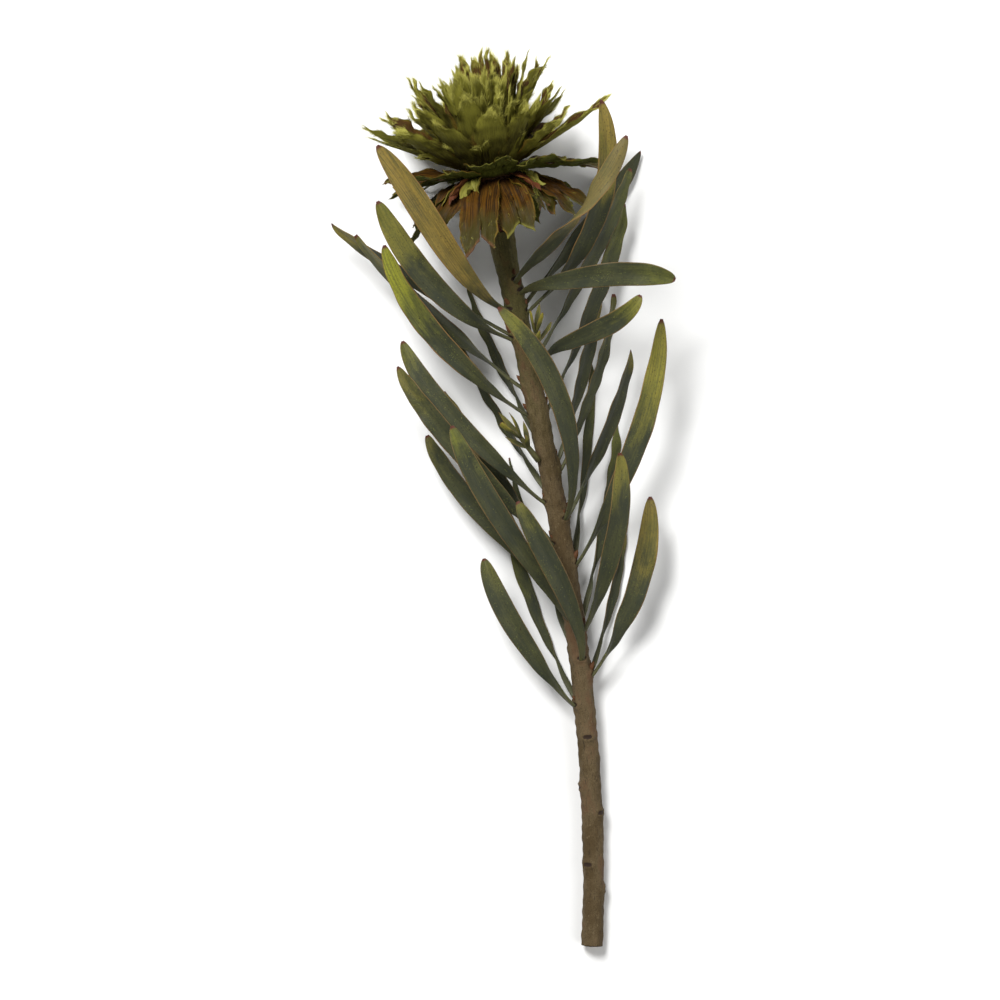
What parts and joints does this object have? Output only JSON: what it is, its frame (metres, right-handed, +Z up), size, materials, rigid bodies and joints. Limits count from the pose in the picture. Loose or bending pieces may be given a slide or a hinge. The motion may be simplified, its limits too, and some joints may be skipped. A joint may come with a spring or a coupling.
{
  "type": "leucadendron stem",
  "caption": "Cut woody stem with strap leaves and one opened flower head of felted bracts, lying flat, dyed green.",
  "frame": {"origin": "centre of the bounding box, on the surface that the stem lies on", "axes": "+Y along the stem from the cut end to the flower head, +X to the right seen from above, +Z up"},
  "size_m": [0.143, 0.3812, 0.09],
  "materials": {
    "bark": "matt brown bark, olive under the head",
    "leaf": "satin dry leaf, blue-green to golden, orange margin",
    "shoot": "satin young leaf",
    "scale": "satin maroon scale",
    "skirt": "satin striped orange-brown inside, green felt outside",
    "crown": "matt green felt with silky hairs"
  },
  "bodies": {
    "root": {"stem": "bark", "leaf_01": "leaf", "leaf_02": "leaf", "leaf_03": "leaf", "leaf_04": "leaf", "leaf_05": "leaf", "leaf_06": "leaf", "leaf_07": "leaf", "leaf_08": "leaf", "leaf_09": "leaf", "leaf_10": "leaf", "leaf_11": "leaf", "leaf_12": "leaf", "leaf_13": "leaf", "leaf_14": "leaf", "leaf_15": "leaf", "leaf_16": "leaf", "leaf_17": "leaf", "leaf_18": "leaf", "leaf_19": "leaf", "leaf_20": "leaf", "leaf_21": "leaf", "leaf_22": "leaf", "leaf_23": "leaf", "leaf_24": "leaf", "leaf_25": "leaf", "leaf_26": "leaf", "leaf_27": "leaf", "leaf_28": "leaf", "leaf_29": "leaf", "leaf_30": "leaf", "leaf_31": "leaf", "leaf_32": "leaf", "leaf_33": "leaf", "leaf_34": "leaf", "side_shoot_1": "shoot", "side_shoot_2": "shoot", "scale_cup": "scale", "skirt_bracts": "skirt", "crown_bracts": "crown"}
  },
  "joints": []
}
